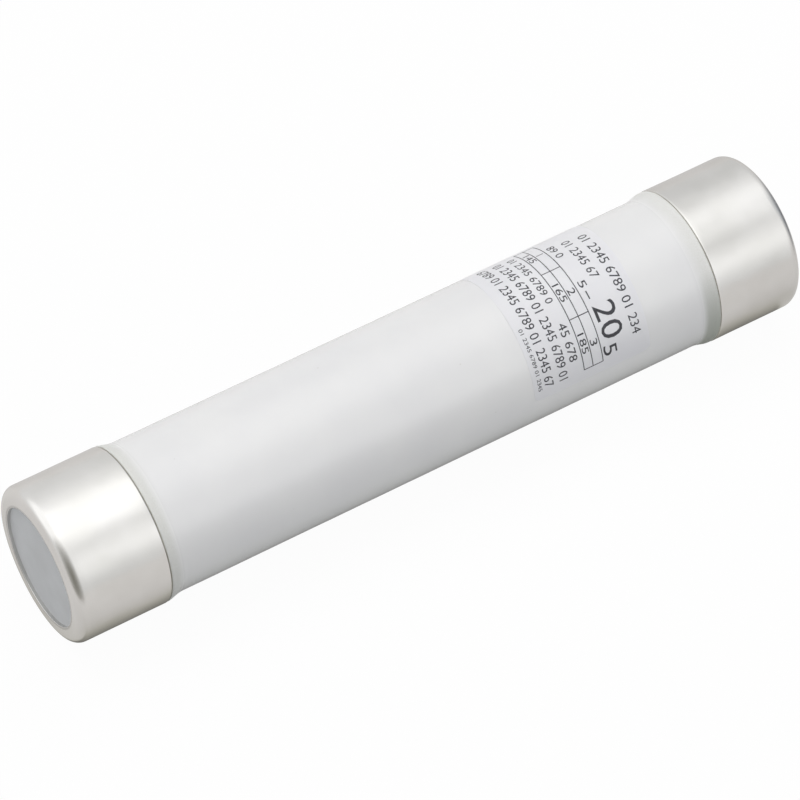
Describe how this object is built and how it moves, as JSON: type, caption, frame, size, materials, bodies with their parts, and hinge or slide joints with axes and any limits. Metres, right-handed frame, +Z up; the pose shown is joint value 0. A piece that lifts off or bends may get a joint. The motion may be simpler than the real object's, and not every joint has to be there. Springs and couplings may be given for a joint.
{
  "type": "current-limiting fuse",
  "caption": "Tubular porcelain fuse-link with plated end caps for spring clips, silver strips wound on a ribbed core in sand, and a spring-driven striker pin.",
  "frame": {"origin": "the middle of the fuse, on its axis", "axes": "+X along the fuse towards the striker end, +Z up, with the middle of the label on the +Z side"},
  "size_m": [0.225, 0.045, 0.045],
  "materials": {
    "glazed_porcelain": "glossy white glaze, bare matt porcelain at the collars",
    "plated_cap": "drawn brass with a bright silver-coloured plating",
    "dull_plate": "dull grey tinned sheet",
    "seal_rubber": "moulded black rubber",
    "copper": "pressed copper, slightly dulled",
    "turned_brass": "fine turned brass",
    "cement": "matt grey cement",
    "steatite": "matt unglazed ceramic",
    "silver_strip": "rolled silver",
    "tin": "smooth tin solder",
    "sand": "packed fine quartz sand",
    "pin_steel": "ground steel",
    "spring_steel": "drawn spring wire",
    "glass_sleeve": "braided glass-fibre sleeve",
    "label_film": "thin satin film with dark grey printing"
  },
  "bodies": {
    "fuse_link": {"porcelain_tube": "glazed_porcelain", "contact_cap_left": "plated_cap", "contact_cap_right": "plated_cap", "end_plate_left": "dull_plate", "end_plate_right": "dull_plate", "seal_ring_left": "seal_rubber", "seal_ring_right": "seal_rubber", "inner_cap_left": "copper", "inner_cap_right": "copper", "fill_plug": "turned_brass", "cement_left": "cement", "cement_right": "cement", "element_core": "steatite", "core_terminal_left": "copper", "core_terminal_right": "copper", "fuse_element_1": "silver_strip", "fuse_element_2": "silver_strip", "fuse_element_3": "silver_strip", "overload_solder": "tin", "quartz_sand": "sand", "striker_housing": "turned_brass", "striker_spring": "spring_steel", "striker_bush": "turned_brass", "striker_seal": "seal_rubber", "striker_wire": "spring_steel", "wire_sleeve": "glass_sleeve", "wire_anchor": "turned_brass", "rating_label": "label_film"},
    "striker": {"striker_pin": "pin_steel"}
  },
  "joints": [
    {"name": "striker_slide", "type": "slide", "parent": "fuse_link", "child": "striker", "axis": [1, 0, 0], "range_m": [0, 0.022], "deforming": ["striker_spring"]}
  ]
}
